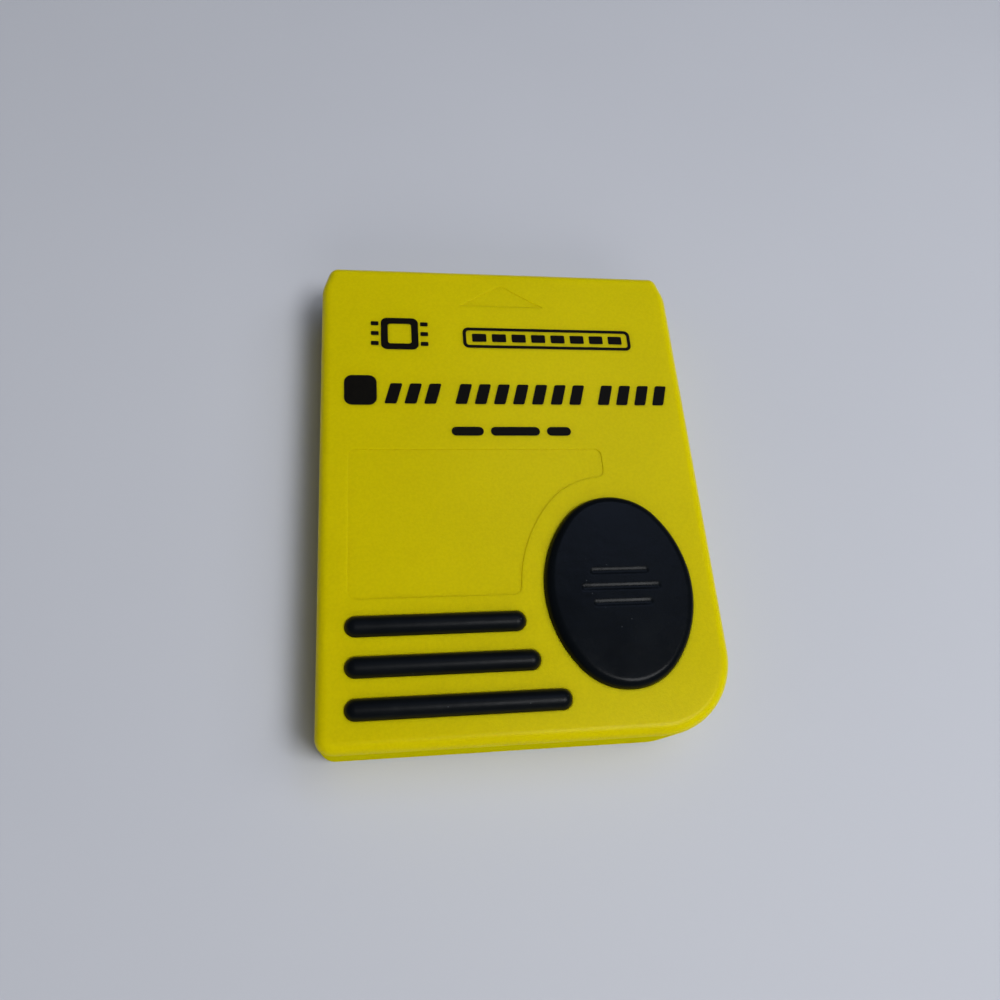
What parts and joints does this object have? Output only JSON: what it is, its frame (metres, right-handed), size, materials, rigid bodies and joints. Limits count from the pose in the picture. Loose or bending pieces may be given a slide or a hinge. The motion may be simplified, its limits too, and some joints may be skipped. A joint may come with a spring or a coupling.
{
  "type": "console memory card",
  "caption": "Flat moulded console memory card with a large rounded tail corner, a recessed label field, a raised rubber thumb pad and grip bars, and a contact bay under its insertion end.",
  "frame": {"origin": "centre of the card's outline, on its underside", "axes": "+Z out of the label face, +Y towards the insertion end, +X to the right seen from above"},
  "size_m": [0.0424, 0.0558, 0.009],
  "materials": {
    "yellow_case": "satin",
    "black_rubber": "matte",
    "board_laminate": "satin",
    "contact_gold": "polished",
    "chip_resin": "matte",
    "tinned_lead": "satin",
    "resonator_ceramic": "matte",
    "capacitor_ceramic": "matte",
    "resistor_ceramic": "matte"
  },
  "bodies": {
    "root": {"top_shell": "yellow_case", "bottom_shell": "yellow_case", "oval_grip": "black_rubber", "upper_grip_bar": "black_rubber", "middle_grip_bar": "black_rubber", "lower_grip_bar": "black_rubber", "circuit_board": "board_laminate", "contact_1": "contact_gold", "contact_2": "contact_gold", "contact_3": "contact_gold", "contact_4": "contact_gold", "contact_5": "contact_gold", "contact_6": "contact_gold", "contact_7": "contact_gold", "contact_8": "contact_gold", "memory_chip": "chip_resin", "controller_chip": "chip_resin", "voltage_regulator": "chip_resin", "memory_chip_pins": "tinned_lead", "controller_chip_pins": "tinned_lead", "voltage_regulator_pins": "tinned_lead", "clock_resonator": "resonator_ceramic", "capacitors": "capacitor_ceramic", "resistors": "resistor_ceramic"}
  },
  "joints": []
}
